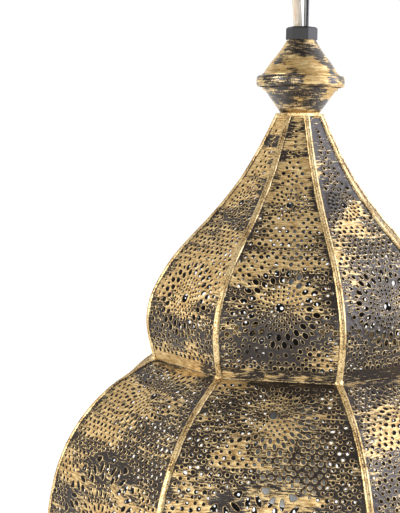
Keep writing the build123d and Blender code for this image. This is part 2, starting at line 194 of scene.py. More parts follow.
class Shader:
    """One node material, built by expressions."""

    def __init__(self, name: str, sky: bool = False) -> None:
        """Starts an empty material with a Principled shader, or an empty sky.

        Args:
            name: The material's name.
            sky: Whether it is the scene's surroundings.
        """
        self.material = bpy.data.worlds.new(name) if sky else bpy.data.materials.new(name)
        self.material.use_nodes = True
        self.tree = self.material.node_tree
        self.tree.nodes.clear()
        if not sky:
            self.surface = self.node("ShaderNodeBsdfPrincipled", {}, {})
            self.node("ShaderNodeOutputMaterial", {}, {"Surface": self.surface.outputs[0]})

    def fill(self, node: Node, inputs: dict) -> None:
        """Sets or links a node's sockets.

        Args:
            node: The node.
            inputs: A number, colour, output or Value for each socket's name or place.
        """
        for name, given in inputs.items():
            socket = node.inputs[name]
            if isinstance(given, Value):
                given = given.socket
            if isinstance(given, NodeSocket):
                self.tree.links.new(given, socket)
            elif isinstance(given, tuple) and len(given) == 3 and len(socket.default_value) == 4:
                socket.default_value = (*given, 1.0)
            else:
                socket.default_value = given

    def node(self, kind: str, settings: dict, inputs: dict) -> Node:
        """Adds a node, sets it up and fills its sockets.

        Args:
            kind: The node's type.
            settings: Its settings, which are set first.
            inputs: What goes into its sockets.

        Returns:
            The node.
        """
        made = self.tree.nodes.new(kind)
        for name, setting in settings.items():
            setattr(made, name, setting)
        self.fill(made, inputs)
        return made

    def place(self, scale: Point = (1.0, 1.0, 1.0), uv: str = "") -> NodeSocket:
        """Gives the coordinates of a pattern.

        Args:
            scale: How much the pattern is drawn out along each way.
            uv: The piece's own UV map, or nothing for Object coordinates.

        Returns:
            The scaled coordinates.
        """
        if uv:
            source = self.node("ShaderNodeUVMap", {"uv_map": uv}, {}).outputs[0]
        else:
            source = self.node("ShaderNodeTexCoord", {}, {}).outputs["Object"]
        return self.node("ShaderNodeMapping", {}, {"Vector": source, "Scale": scale}).outputs[0]

    def noise(self, place: NodeSocket, scale: float, detail: float = 3.0,
              rough: float = 0.55, twist: float = 0.0) -> Value:
        """Adds a noise pattern.

        Args:
            place: The coordinates.
            scale: Patches in a metre.
            detail: How many finer layers there are.
            rough: How strong the finer layers are.
            twist: How much the pattern is distorted.

        Returns:
            The noise, about 0.5 in the middle.
        """
        made = self.node("ShaderNodeTexNoise", {}, {
            "Vector": place, "Scale": scale, "Detail": detail, "Roughness": rough, "Distortion": twist})
        return Value(self, made.outputs["Fac"])

    def attribute(self, name: str) -> Value:
        """Reads a number that the piece's mesh carries."""
        made = self.node("ShaderNodeAttribute", {"attribute_name": name}, {})
        return Value(self, made.outputs["Fac"])

    def blend(self, share: Value, low: Colour | NodeSocket,
              high: Colour | NodeSocket) -> NodeSocket:
        """Mixes two colours.

        Args:
            share: How much of the second colour shows.
            low: The colour where share is 0.
            high: The colour where share is 1.

        Returns:
            The mixed colour.
        """
        made = self.node("ShaderNodeMix", {"data_type": "RGBA"}, {0: share, 6: low, 7: high})
        return made.outputs[2]

    def gilded(self, gold: Value, pale: Value, tone: Value, shade: Value) -> NodeSocket:
        """Mixes brushed gold over the black.

        Args:
            gold: Where the gold lies.
            pale: Where it is palest.
            tone: Where the rest of it is light.
            shade: Where the black is warm.

        Returns:
            The mixed colour.
        """
        black = self.blend(shade, BLACKENED, BLACKENED_WARM)
        return self.blend(gold, black, self.blend(pale, self.blend(tone, GOLD_DEEP, GOLD), GOLD_PALE))

    def finish(self, sockets: dict, bump: Value | None = None, depth: float = 0.0002,
               strength: float = 0.4) -> Material:
        """Fills the Principled shader.

        Args:
            sockets: What goes into each of its sockets.
            bump: The height pattern, if there is one.
            depth: The bump's height in metres.
            strength: How much the bump shows.

        Returns:
            The material.
        """
        if bump is not None:
            made = self.node("ShaderNodeBump", {}, {"Height": bump, "Distance": depth, "Strength": strength})
            sockets = {**sockets, "Normal": made.outputs[0]}
        self.fill(self.surface, sockets)
        return self.material


# --- Finishes ---

BLACKENED = linear(30, 26, 25)
BLACKENED_WARM = linear(64, 53, 45)
GOLD = linear(218, 180, 112)
GOLD_PALE = linear(250, 225, 170)
GOLD_DEEP = linear(162, 124, 72)


@dataclass(frozen=True)
class BrushedSheet:
    """Blackened sheet with gold dry-brushed over it in level strokes; hole rims catch the most."""

    name: str = "brushed_sheet"

    def material(self) -> Material:
        """Builds the finish.

        Returns:
            The material, which reads the piece's UV map Flat and its attributes rim, edge and worn.
        """
        make = Shader(self.name)
        strokes = make.noise(make.place((0.16, 1.0, 1.0), "Flat"), 950.0, 3.0, 0.65, 0.3)
        bands = make.noise(make.place((0.22, 1.0, 1.0), "Flat"), 170.0, 4.0, 0.65, 0.5)
        patches = make.noise(make.place((0.5, 1.0, 1.0), "Flat"), 30.0, 3.0, 0.55, 0.5)
        grit = make.noise(make.place((0.6, 1.0, 1.0), "Flat"), 1900.0, 2.0, 0.6)
        rim, edge, worn = make.attribute("rim"), make.attribute("edge"), make.attribute("worn")
        body = strokes * 0.45 + bands * 0.85 + patches * 1.90 + grit * 0.18 - 1.19
        # less gold on the plain strip beside the ribs, where the brush skipped it, and a painted shade line
        # right against each rib
        body = body + worn - edge * 0.10 - edge.step(0.80, 0.96) * 0.16
        speck = (strokes * 0.75 + grit * 0.30 + body * 0.30).step(0.700, 0.755) * 0.85
        gold = (body + rim * 0.62).step(0.44, 0.55).most(speck)
        tone = (grit * 0.5 + strokes * 0.6).step(0.40, 0.70)
        pale = (strokes * 0.7 + grit * 0.3 + bands * 0.3 + rim * 0.06).step(0.56, 0.82)
        return make.finish(
            {"Base Color": make.gilded(gold, pale, tone, tone), "Metallic": gold * 0.30 + 0.45,
             "Roughness": 0.40 + gold * 0.06 + grit * 0.16, "Coat Weight": 0.30 - gold * 0.25,
             "Coat Roughness": 0.22},
            strokes * 0.6 + grit * 0.35 + gold * 0.35, 0.0002, 0.45)


@dataclass(frozen=True)
class DullInside:
    """The unpainted inner face of the sheet, dark and matt."""

    name: str = "sheet_inside"

    def material(self) -> Material:
        """Builds the finish."""
        make = Shader(self.name)
        cloud = make.noise(make.place(), 90.0, 4.0, 0.6)
        colour = make.blend(cloud.step(0.35, 0.65), linear(24, 22, 21), linear(46, 41, 37))
        return make.finish({"Base Color": colour, "Metallic": 0.2, "Roughness": 0.62 + cloud * 0.16},
                           cloud, 0.0002, 0.3)


@dataclass(frozen=True)
class TrimGold:
    """Folded strip, gold on its beads with the black left in the fold between them and in worn patches; its
    dark borders are painted shade.
    """

    name: str = "trim_gold"
    cover: float = 0.0

    def material(self) -> Material:
        """Builds the finish, which reads the piece's attribute groove_and_edge_shade: the black in the fold,
        and painted shade along the borders.
        """
        make = Shader(self.name)
        place = make.place()
        patches = make.noise(place, 75.0, 4.0, 0.62, 0.5)
        grit = make.noise(place, 900.0, 3.0, 0.6)
        groove_and_edge_shade = make.attribute("groove_and_edge_shade")
        # the black in the strip's middle fold and the painted shade along its borders take gold away
        body = patches + grit * 0.6 - groove_and_edge_shade * 0.24 - 0.15 + self.cover
        gold = body.step(0.38, 0.56)
        pale = (patches * 0.5 + grit * 0.6).step(0.46, 0.66)
        colour = make.gilded(gold, pale, grit.step(0.4, 0.6), grit.step(0.3, 0.7))
        return make.finish(
            {"Base Color": colour, "Metallic": gold * 0.4 + 0.35,
             "Roughness": 0.5 - gold * 0.14 + grit * 0.1},
            grit + patches * 0.6, 0.00025, 0.5)


@dataclass(frozen=True)
class FinialMetal:
    """Spun brass, brushed level over black with dark patches left showing."""

    name: str = "finial_metal"
    cover: float = 0.0

    def material(self) -> Material:
        """Builds the finish."""
        make = Shader(self.name)
        strokes = make.noise(make.place((0.16, 0.16, 1.0)), 850.0, 3.0, 0.65, 0.3)
        bands = make.noise(make.place((0.30, 0.30, 1.0)), 170.0, 4.0, 0.65, 0.5)
        patches = make.noise(make.place((0.8, 0.8, 1.3)), 44.0, 3.0, 0.5, 0.3)
        grit = make.noise(make.place(), 1700.0, 2.0, 0.6)
        body = strokes * 0.55 + bands * 0.7 + patches * 1.5 + grit * 0.25 - 0.97 + self.cover
        speck = (strokes * 0.55 + grit * 0.55 + body * 0.35).step(0.735, 0.79) * 0.85
        gold = body.step(0.44, 0.55).most(speck)
        pale = (strokes * 0.55 + bands * 0.55).step(0.48, 0.72)
        colour = make.gilded(gold, pale, grit.step(0.3, 0.6), strokes.step(0.4, 0.65))
        return make.finish(
            {"Base Color": colour, "Metallic": gold * 0.3 + 0.45,
             "Roughness": 0.38 + gold * 0.04 + strokes * 0.14, "Coat Weight": 0.7 - gold * 0.6,
             "Coat Roughness": 0.25},
            strokes * 0.7 + bands * 0.3, 0.00022, 0.5)


@dataclass(frozen=True)
class Plain:
    """A plain material between two screen colours, with its own cloudiness, fine grain and wear."""

    name: str
    light: tuple[int, int, int]
    dark: tuple[int, int, int]
    metal: float = 0.0
    rough: float = 0.5
    grain: float = 600.0
    cloud: float = 60.0
    depth: float = 0.0001
    extra: tuple[tuple[str, float], ...] = ()

    def material(self) -> Material:
        """Builds the finish."""
        make = Shader(self.name)
        place = make.place()
        cloud = make.noise(place, self.cloud, 3.0, 0.55)
        grain = make.noise(place, self.grain, 3.0, 0.6)
        share = (cloud * 0.6 + grain * 0.4).step(0.36, 0.64)
        colour = make.blend(share, linear(*self.dark), linear(*self.light))
        return make.finish({"Base Color": colour, "Metallic": self.metal,
                            "Roughness": self.rough - 0.08 + grain * 0.16, **dict(self.extra)},
                           grain, self.depth, 0.35)


PLASTIC_BLACK = Plain("black_plastic", (38, 37, 38), (24, 23, 24), 0.0, 0.44, 900.0, 60.0, 0.00008)
ZINC = Plain("zinc_steel", (196, 198, 202), (150, 153, 158), 0.9, 0.34, 700.0, 45.0)
FERRULE = Plain("ferrule_metal", (188, 186, 180), (140, 138, 134), 0.9, 0.36)
WIRE_COAT = Plain("wire_coat", (26, 26, 28), (16, 16, 18), 0.0, 0.18, 500.0, 40.0, 0.00005,
                  (("Coat Weight", 0.6), ("Coat Roughness", 0.08)))
LEAD_COAT = Plain("lead_coat", (226, 222, 212), (205, 200, 188), 0.0, 0.35, 700.0, 50.0, 0.00005)
CANOPY_METAL = Plain("canopy_metal", (64, 58, 52), (38, 34, 32), 0.6, 0.42, 800.0, 30.0)
RUBBER = Plain("grommet_rubber", (38, 38, 39), (24, 24, 25), 0.0, 0.72, 900.0, 80.0)
TERMINAL = Plain("terminal_plastic", (232, 229, 220), (214, 210, 200), 0.0, 0.42)
HOLDER = Plain("holder_plastic", (44, 43, 44), (28, 27, 28), 0.0, 0.38)
BRASS = Plain("contact_brass", (222, 184, 104), (180, 144, 76), 1.0, 0.28)
# the globe's grey is partly the unlit frosted glass's own colour and partly painted shade for the dim inside
# of the lantern
OPAL = Plain("opal_globe", (168, 167, 164), (158, 157, 154), 0.0, 0.30, 400.0, 30.0, 0.00004,
             (("Subsurface Weight", 0.25), ("Subsurface Scale", 0.01)))
HOUSING = Plain("lamp_housing", (160, 160, 159), (148, 148, 147), 0.0, 0.36)
CAP_METAL = Plain("cap_metal", (206, 206, 208), (168, 168, 172), 1.0, 0.26)
COPPER = Plain("copper_strands", (206, 128, 84), (156, 84, 50), 0.9, 0.32, 1400.0, 90.0)
TINNED = Plain("tinned_strands", (214, 208, 200), (160, 152, 146), 0.9, 0.34, 1400.0, 90.0)


@dataclass(frozen=True)
class ClearJacket:
    """Clear soft plastic that the conductors show through."""

    name: str = "clear_jacket"

    def material(self) -> Material:
        """Builds the finish."""
        make = Shader(self.name)
        cloud = make.noise(make.place((1.0, 1.0, 0.4)), 260.0, 3.0, 0.5)
        colour = make.blend(cloud, linear(222, 206, 178), linear(246, 236, 216))
        return make.finish({"Base Color": colour, "Roughness": 0.16 + cloud * 0.1,
                            "Alpha": 0.52 + cloud * 0.2, "Coat Weight": 0.4, "Coat Roughness": 0.1},
                           cloud, 0.00015, 0.3)


# --- Pieces ---


def add_piece(name: str, data: ID) -> Object:
    """Puts a mesh or a curve in the scene under a name."""
    made = bpy.data.objects.new(name, data)
    bpy.context.scene.collection.objects.link(made)
    return made


def loft_faces(rings: int, around: int) -> list[tuple[int, ...]]:
    """Joins rings of points into a closed skin.

    Args:
        rings: How many rings there are.
        around: How many points each has.

    Returns:
        The faces between the rings, and one over each end.
    """
    faces = [(i * around + j, i * around + (j + 1) % around, (i + 1) * around + (j + 1) % around,
              (i + 1) * around + j) for i in range(rings - 1) for j in range(around)]
    return [*faces, tuple(reversed(range(around))), tuple(range((rings - 1) * around, rings * around))]


def open_edit(piece: Object) -> None:
    """Opens a piece in edit mode with everything selected."""
    choose(piece)
    bpy.ops.object.mode_set(mode="EDIT")
    bpy.ops.mesh.select_all(action="SELECT")


def close_edit(degrees: float) -> None:
    """Turns the open piece's faces outwards and smooths the edges below an angle."""
    bpy.ops.mesh.normals_make_consistent(inside=False)
    bpy.ops.object.mode_set(mode="OBJECT")
    bpy.ops.object.shade_smooth_by_angle(angle=math.radians(degrees))


def carry(mesh: Mesh, name: str, values: Sequence[float]) -> None:
    """Gives a mesh a number at each point, for its finish to read.

    Args:
        mesh: The mesh.
        name: The attribute's name.
        values: The number for each point.
    """
    layer = mesh.attributes.get(name) or mesh.attributes.new(name, "FLOAT", "POINT")
    layer.data.foreach_set("value", values)


def piece_from(name: str, points: np.ndarray, faces: Sequence[Sequence[int]]) -> Object:
    """Makes a mesh piece from points and faces, with its faces outwards.

    Args:
        name: The piece's name.
        points: Its corners.
        faces: Its faces.

    Returns:
        The piece.
    """
    mesh = bpy.data.meshes.new(name)
    mesh.from_pydata([tuple(p) for p in points], [], [tuple(f) for f in faces])
    mesh.update()
    made = add_piece(name, mesh)
    open_edit(made)
    close_edit(40)
    return made


def dress(piece: Object, *materials: Material) -> None:
    """Gives a piece its materials.

    Args:
        piece: The piece.
        materials: Its materials, in the order of its slots.
    """
    piece.data.materials.clear()
    for material in materials:
        piece.data.materials.append(material)


def turned(first: Object, name: str, side: int) -> Object:
    """Copies the first side's piece to another side, with its own mesh.

    Args:
        first: The piece of side 0.
        name: The start of the copy's name.
        side: The side, from 0 to 7.

    Returns:
        The copy, or the first piece itself for side 0.
    """
    if side == 0:
        return first
    mesh = first.data.copy()
    mesh.transform(Matrix.Rotation(SIDE * side, 4, "Z"))
    return add_piece(f"{name}_{side + 1}", mesh)


def hang(piece: Object, node: str = "") -> None:
    """Makes a piece part of the lantern.

    Args:
        piece: The piece.
        node: The CAD node that it stands for, if there is one.
    """
    if node:
        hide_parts(node)
    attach(piece, "lantern")


# --- Studio ---


@dataclass
class Studio:
    """Camera, floor and soft light."""

    waist: float
    away: float = 0.930
    above: float = 0.1727
    azimuth: float = 5.67
    pan: float = 4.63
    tilt: float = -5.91
    roll: float = 0.96
    lens: float = 83.71
    floor: float = -2.4
    wall: float = 1.05
    room: float = 0.22

    def camera(self) -> None:
        """Stands the camera at the viewing angle."""
        side = math.radians(self.azimuth)
        bpy.ops.object.camera_add()
        camera = bpy.context.object
        camera.name = "camera"
        turn = (Matrix.Rotation(side + math.radians(self.pan), 4, "Z")
                @ Matrix.Rotation(math.radians(90 + self.tilt), 4, "X")
                @ Matrix.Rotation(math.radians(self.roll), 4, "Z"))
        place = (self.away * math.sin(side), -self.away * math.cos(side), self.waist + self.above)
        camera.matrix_world = Matrix.Translation(place) @ turn
        camera.data.lens = self.lens
        camera.data.sensor_width = 36.0
        camera.data.clip_end = 60.0
        bpy.context.scene.camera = camera

    def lamp(self, name: str, place: Point, size: float, power: float, colour: Colour) -> None:
        """Adds a soft box that looks at the lantern.

        Args:
            name: The light's name.
            place: Where it stands.
            size: Its side in metres.
            power: Its power in watts.
            colour: Its colour.
        """
        bpy.ops.object.light_add(type="AREA", location=place)
        lamp = bpy.context.object
        lamp.name = name
        lamp.data.size = size
        lamp.data.energy = power
        lamp.data.color = colour
        aim = Vector((0.0, 0.0, self.waist)) - Vector(place)
        lamp.rotation_euler = aim.to_track_quat("-Z", "Y").to_euler()

    def sky(self) -> World:
        """Makes the bright wall behind the lantern and the dimmer room in front of it.

        Returns:
            The surroundings, which show plain white behind the lantern from every side.
        """
        make = Shader("studio", sky=True)
        way = make.node("ShaderNodeTexCoord", {}, {}).outputs["Generated"]
        split = make.node("ShaderNodeSeparateXYZ", {}, {0: way})
        ahead, right = Value(make, split.outputs["Y"]), Value(make, split.outputs["X"])
        light = (ahead + right * 0.35).step(-0.35, 0.75) * (self.wall - self.room) + self.room
        seen = Value(make, make.node("ShaderNodeLightPath", {}, {}).outputs["Is Camera Ray"])
        back = make.node("ShaderNodeBackground", {}, {"Color": (1.0, 1.0, 1.0), "Strength": light.most(seen)})
        make.node("ShaderNodeOutputWorld", {}, {"Surface": back.outputs[0]})
        return make.material

    def build(self) -> None:
        """Lays the floor and hangs the lights."""
        scene = bpy.context.scene
        scene.view_settings.view_transform = "Standard"
        scene.view_settings.look = "None"
        scene.world = self.sky()
        deselect_all()
        bpy.ops.mesh.primitive_plane_add(size=30.0, location=(0.0, 0.0, self.floor))
        floor = bpy.context.object
        floor.name = "floor"
        make = Shader("floor_paper")
        cloud = make.noise(make.place(), 2.0, 2.0, 0.5)
        floor.data.materials.append(make.finish({
            "Base Color": make.blend(cloud, linear(244, 244, 244), linear(250, 250, 250)),
            "Roughness": 0.9, "Emission Color": (1.0, 1.0, 1.0), "Emission Strength": 0.62}))
        self.lamp("key", (-1.5, -1.1, 0.25), 0.8, 25.0, (1.0, 0.97, 0.93))
        self.lamp("front", (-0.2, -2.0, -0.1), 0.7, 8.0, (1.0, 1.0, 1.0))
        self.lamp("sheen", (1.35, 0.15, 0.25), 1.2, 22.0, (0.87, 0.88, 1.0))
        LOG.info("studio ready")


# --- Cable ---


@dataclass
class SupplyCable:
    """The clear supply cable, from the bush at the finial up through the canopy to the terminals."""

    across: float = 0.0065
    length: float = 0.163
    core: float = 0.19  # the radius of each core, as a share of the jacket's width
    core_offset: float = 0.2  # how far it lies from the middle, as the same share
    twists: float = 5.0
    steps_in_twist: int = 14
    aside: Point = (0.3, 0.9, 0.1)  # a direction that the line never takes
    route: tuple[Point, ...] = (
        (-0.00221, -0.00221, -0.178), (-0.00221, -0.00221, -0.127),
        (-0.0219, -0.0186, -0.074), (-0.0200, -0.0170, -0.0185))

    def line(self) -> np.ndarray:
        """Lays the route as a smooth open NURBS line.

        Returns:
            The points along it.
        """
        data = bpy.data.curves.new("cable_line", "CURVE")
        data.dimensions = "3D"
        data.resolution_u = 12
        spline = data.splines.new("NURBS")
        spline.points.add(len(self.route) - 1)
        for point, place in zip(spline.points, self.route):
            point.co = (*place, 1.0)
        spline.order_u = 3
        spline.use_endpoint_u = True
        bare = add_piece("cable_line", data)
        bpy.context.view_layer.update()
        mesh = bpy.data.meshes.new_from_object(bare.evaluated_get(bpy.context.evaluated_depsgraph_get()))
        points = np.array([v.co for v in mesh.vertices], float)
        bpy.data.objects.remove(bare)
        return points

    def tube(self, line: np.ndarray, radius: float, name: str, offset: float = 0.0,
             turns: float = 0.0, phase: float = 0.0, around: int = 16) -> Object:
        """Makes a closed tube that follows a line, straight or twisted round it.

        Args:
            line: The points that it follows.
            radius: The tube's radius.
            name: The piece's name.
            offset: How far its middle lies from the line.
            turns: How often it winds round the line.
            phase: Where round the line it starts.
            around: Corners of its section.

        Returns:
            The mesh piece.
        """
        steps = np.concatenate([[0.0], np.cumsum(np.linalg.norm(np.diff(line, axis=0), axis=1))])
        count = max(len(line), int(turns * self.steps_in_twist) + 2)
        share = np.linspace(0.0, steps[-1], count)
        middle = np.stack([np.interp(share, steps, line[:, i]) for i in range(3)], axis=1)
        ahead = np.gradient(middle, axis=0)
        ahead /= np.linalg.norm(ahead, axis=1)[:, None]
        side = np.cross(ahead, self.aside)
        side /= np.linalg.norm(side, axis=1)[:, None]
        up = np.cross(ahead, side)
        angle = phase + math.tau * turns * share / steps[-1]
        middle = middle + offset * (np.cos(angle)[:, None] * side + np.sin(angle)[:, None] * up)
        ring = np.linspace(0.0, math.tau, around, endpoint=False)
        rings = (middle[:, None, :] + radius * (np.cos(ring)[None, :, None] * side[:, None, :]
                                               + np.sin(ring)[None, :, None] * up[:, None, :]))
        return piece_from(name, rings.reshape(-1, 3), loft_faces(count, around))

    def build(self) -> None:
        """Makes the jacket and its two twisted cores and puts them in place of the CAD cable."""
        line = self.line()
        jacket = self.tube(line, self.across / 2, "supply_cable_jacket")
        dress(jacket, ClearJacket().material())
        cores = []
        for name, finish, phase in (("cable_core_copper", COPPER, 0.0),
                                    ("cable_core_tinned", TINNED, math.pi)):
            core = self.tube(line, self.across * self.core, name, self.across * self.core_offset,
                             self.twists, phase, 10)
            dress(core, finish.material())
            cores.append(core)
        for piece in (jacket, *cores):
            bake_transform(piece)
        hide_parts("supply_cable")
        LOG.info("supply cable: %d points", len(line))


# --- Punched shells ---


@dataclass(frozen=True)
class Hole:
    """One punched hole in the flat sheet, in millimetres from the panel's middle line and top edge."""

    across: float
    along: float
    wide: float
    long: float
    turn: float = 0.0
    taper: float = 0.0
    corners: int = 8

    def reach(self, way: np.ndarray) -> np.ndarray:
        """How far the hole reaches from its centre towards each angle.

        Args:
            way: Angles in radians.

        Returns:
            The reach for each.
        """
        return np.hypot(self.wide / 2 * np.cos(way - self.turn), self.long / 2 * np.sin(way - self.turn))

    def outline(self, grow: float) -> np.ndarray:
        """The hole's outline, or the outline of the lip round it.

        Args:
            grow: How far outside the hole it lies.

        Returns:
            Its corners.
        """
        ring = np.linspace(0.0, math.tau, self.corners, endpoint=False)
        x = (self.wide / 2 + grow) * np.cos(ring) * (1 - self.taper * np.sin(ring))
        y = (self.long / 2 + grow) * np.sin(ring)
        cos, sin = math.cos(self.turn), math.sin(self.turn)
        return np.stack([self.across + x * cos - y * sin, self.along + x * sin + y * cos], axis=1)


class Profile:
    """The outer section of a CAD panel, from its top edge down."""

    def __init__(self, node: str) -> None:
        """Reads the section from the panel that faces -Y.

        Args:
            node: The CAD panel.
        """
        mesh = bpy.data.objects[node].data
        found: dict[float, float] = {}
        for face in mesh.polygons:
            if face.normal.y < -0.05 and abs(face.normal.x) < 0.2:
                for index in face.vertices:
                    place = mesh.vertices[index].co
                    found[round(place.z, 6)] = place.y
        heights = np.array(sorted(found, reverse=True))
        depths = np.array([found[z] for z in heights])
        steps = np.concatenate([[0.0], np.cumsum(np.hypot(np.diff(heights), np.diff(depths)))])
        self.length = float(steps[-1])
        self.along = np.linspace(0.0, self.length, 240)
        self.z = np.interp(self.along, steps, heights)
        self.y = np.interp(self.along, steps, depths)
        slope_y, slope_z = np.gradient(self.y, self.along), np.gradient(self.z, self.along)
        size = np.hypot(slope_y, slope_z)
        self.normal_y, self.normal_z = slope_z / size, -slope_y / size

    def at_height(self, z: float) -> float:
        """How far along the sheet a height lies, in metres."""
        return float(np.interp(-z, -self.z, self.along))

    def half_width(self, along: float) -> float:
        """Half the sheet's width at its outer face, in metres."""
        return -float(np.interp(along, self.along, self.y)) * TO_CORNER

    def bend(self, across: np.ndarray, along: np.ndarray, lift: np.ndarray) -> np.ndarray:
        """Rolls flat points onto the section.

        Args:
            across: Places across the sheet, in metres.
            along: Places down the sheet.
            lift: Heights over its outer face.

        Returns:
            The points in the lantern's frame.
        """
        y, z = np.interp(along, self.along, self.y), np.interp(along, self.along, self.z)
        ny = np.interp(along, self.along, self.normal_y)
        nz = np.interp(along, self.along, self.normal_z)
        return np.stack([across, y + lift * ny, z + lift * nz], axis=1)


class PunchPlan:
    """The holes of one panel, each kept clear of the others and of the edges."""

    def __init__(self, profile: Profile, waist: float, side: float, ends: tuple[float, float]) -> None:
        """Starts an empty sheet.

        Args:
            profile: The panel's section.
            waist: The waist's height, in metres.
            side: The plain strip left beside each rib, in millimetres.
            ends: The plain strips at the top and bottom edges.
        """
        self.profile, self.waist, self.side, self.ends = profile, waist, side, ends
        self.holes: list[Hole] = []
        self.gap, self.ease = 0.5, 0.2
        self.unevenness = (0.28, 0.28, 0.14)  # of the small holes' places and widths
        self.keep_out: tuple[tuple[float, float], ...] = ()  # rounds of plain ground: centre and radius

    def along(self, height: float) -> float:
        """Millimetres down the sheet of a height over the waist."""
        return self.profile.at_height(self.waist + height * MM) / MM

    def half(self, along: float) -> float:
        """Half the sheet's width in millimetres."""
        return self.profile.half_width(along * MM) / MM

    def add(self, across: float, along: float, wide: float, long: float = 0.0, turn: float = 0.0,
            taper: float = 0.0, corners: int = 8) -> None:
        """Punches a hole if it has room.

        Args:
            across: Millimetres from the middle line.
            along: Millimetres down the sheet.
            wide: The hole's width.
            long: Its length, or 0 for a round hole.
            turn: How far it is turned, in radians.
            taper: How much narrower its far end is.
            corners: Corners of its outline.
        """
        long = (long or wide) + self.ease
        wide += self.ease
        reach = max(wide, long) / 2
        if not self.ends[0] + reach < along < self.profile.length / MM - self.ends[1] - reach:
            return
        if abs(across) + reach > self.half(along) - self.side:
            return
        if any(math.hypot(across, along - centre) < radius for centre, radius in self.keep_out):
            return
        hole = Hole(across, along, wide, long, turn, taper, corners)
        for other in self.holes:
            dx, dy = other.across - across, other.along - along
            apart = math.hypot(dx, dy)
            if apart > reach + max(other.wide, other.long) / 2 + self.gap:
                continue
            way = math.atan2(dy, dx)
            if apart < hole.reach(way) + other.reach(way) + self.gap:
                return
        self.holes.append(hole)

    def pair(self, across: float, along: float, wide: float) -> None:
        """Punches a hole on each side of the middle line, or one on it."""
        for side in (-1, 1) if across else (1,):
            self.add(side * across, along, wide)

    def ring(self, centre: float, radius: float, count: int, wide: float, long: float = 0.0,
             start: float = 0.0, corners: int = 8) -> None:
        """Punches a ring of holes, petals pointing outwards.

        Args:
            centre: The ring's centre, millimetres down the sheet.
            radius: Its radius.
            count: How many holes there are.
            wide: The width of each.
            long: The length of each, or 0 for round ones.
            start: The share of a step that the first is turned by.
            corners: Corners of each outline.
        """
        for i in range(count):
            way = math.tau * (i + start) / count
            self.add(radius * math.sin(way), centre + radius * math.cos(way), wide, long, -way,
                     corners=corners)

    def lattice(self, top: float, bottom: float, pitch: float, row: float, wide: float,
                swell: float = 0.0) -> None:
        """Fills the free ground with staggered rows of small holes.

        Args:
            top: Where the rows start, millimetres down the sheet.
            bottom: Where they end.
            pitch: From hole to hole in a row.
            row: From row to row.
            wide: The width of each hole.
            swell: How much wider every third row is.
        """
        number = 0
        along = top
        shake = np.random.default_rng(int(top * 10) + 3)
        while along <= bottom:
            shift = 0.5 if number % 2 else 0.0
            size = wide + (swell if number % 3 == 1 else 0.0)
            reach = int(self.half(along) / pitch) + 1
            for i in range(reach + 1):
                across = (i + shift) * pitch
                dx, dy, grow = shake.normal(0.0, self.unevenness) if across else (0.0, 0.0, 0.0)
                self.pair(across + dx, along + dy, size + grow)
            along += row
            number += 1


def dome_holes(plan: PunchPlan) -> None:
    """Punches the dome's pattern: a stem of dots, a small rosette, ground, a large rosette, ground.

    Args:
        plan: The empty sheet.
    """
    for height in (175.2, 171.0, 167.2, 163.4):
        plan.add(0.0, plan.along(height), 2.3)
    for height, across, wide in (
            (159.2, 3.4, 2.4), (155.8, 0.0, 2.3), (151.8, 3.1, 2.3), (148.2, 0.0, 2.3), (147.8, 5.0, 2.5),
            (144.0, 0.0, 2.2), (143.6, 7.0, 3.1), (141.8, 3.0, 2.3), (139.2, 0.0, 2.2), (138.0, 3.1, 2.3),
            (136.6, 7.0, 2.5), (135.8, 0.0, 2.3), (133.2, 10.6, 3.1), (132.4, 3.3, 2.2)):
        plan.pair(across, plan.along(height), wide)
    small = plan.along(121.0)
    plan.add(0.0, small, 5.6, corners=14)
    plan.ring(small, 6.3, 11, 1.8, 2.6)
    plan.ring(small, 9.7, 17, 1.9, 2.8, start=0.5)
    plan.ring(small, 13.2, 22, 2.1, 2.6)
    large = plan.along(52.0)
    plan.add(0.0, large, 6.8, corners=16)
    plan.ring(large, 6.4, 11, 1.7, 2.1)
    plan.ring(large, 9.3, 16, 1.7, 2.1, start=0.5)
    plan.ring(large, 12.3, 21, 1.8, 2.2)
    plan.ring(large, 15.6, 26, 1.9, 2.4, start=0.5)
    plan.ring(large, 20.8, 20, 3.6, 5.2, corners=12)
    plan.ring(large, 26.2, 20, 3.7, 5.4, start=0.5, corners=12)
    plan.ring(large, 28.4, 20, 1.9, 3.6, corners=10)
    plan.ring(large, 33.6, 20, 2.8, 3.6, start=0.5, corners=10)
    plan.ring(large, 34.4, 20, 2.0)
    plan.keep_out = ((small, 15.4), (large, 35.6))
    plan.lattice(plan.along(114.8), plan.along(8.0), 5.6, 3.9, 2.6, 0.7)
    plan.lattice(plan.along(80.0), plan.along(10.0), 5.6, 3.9, 1.8)


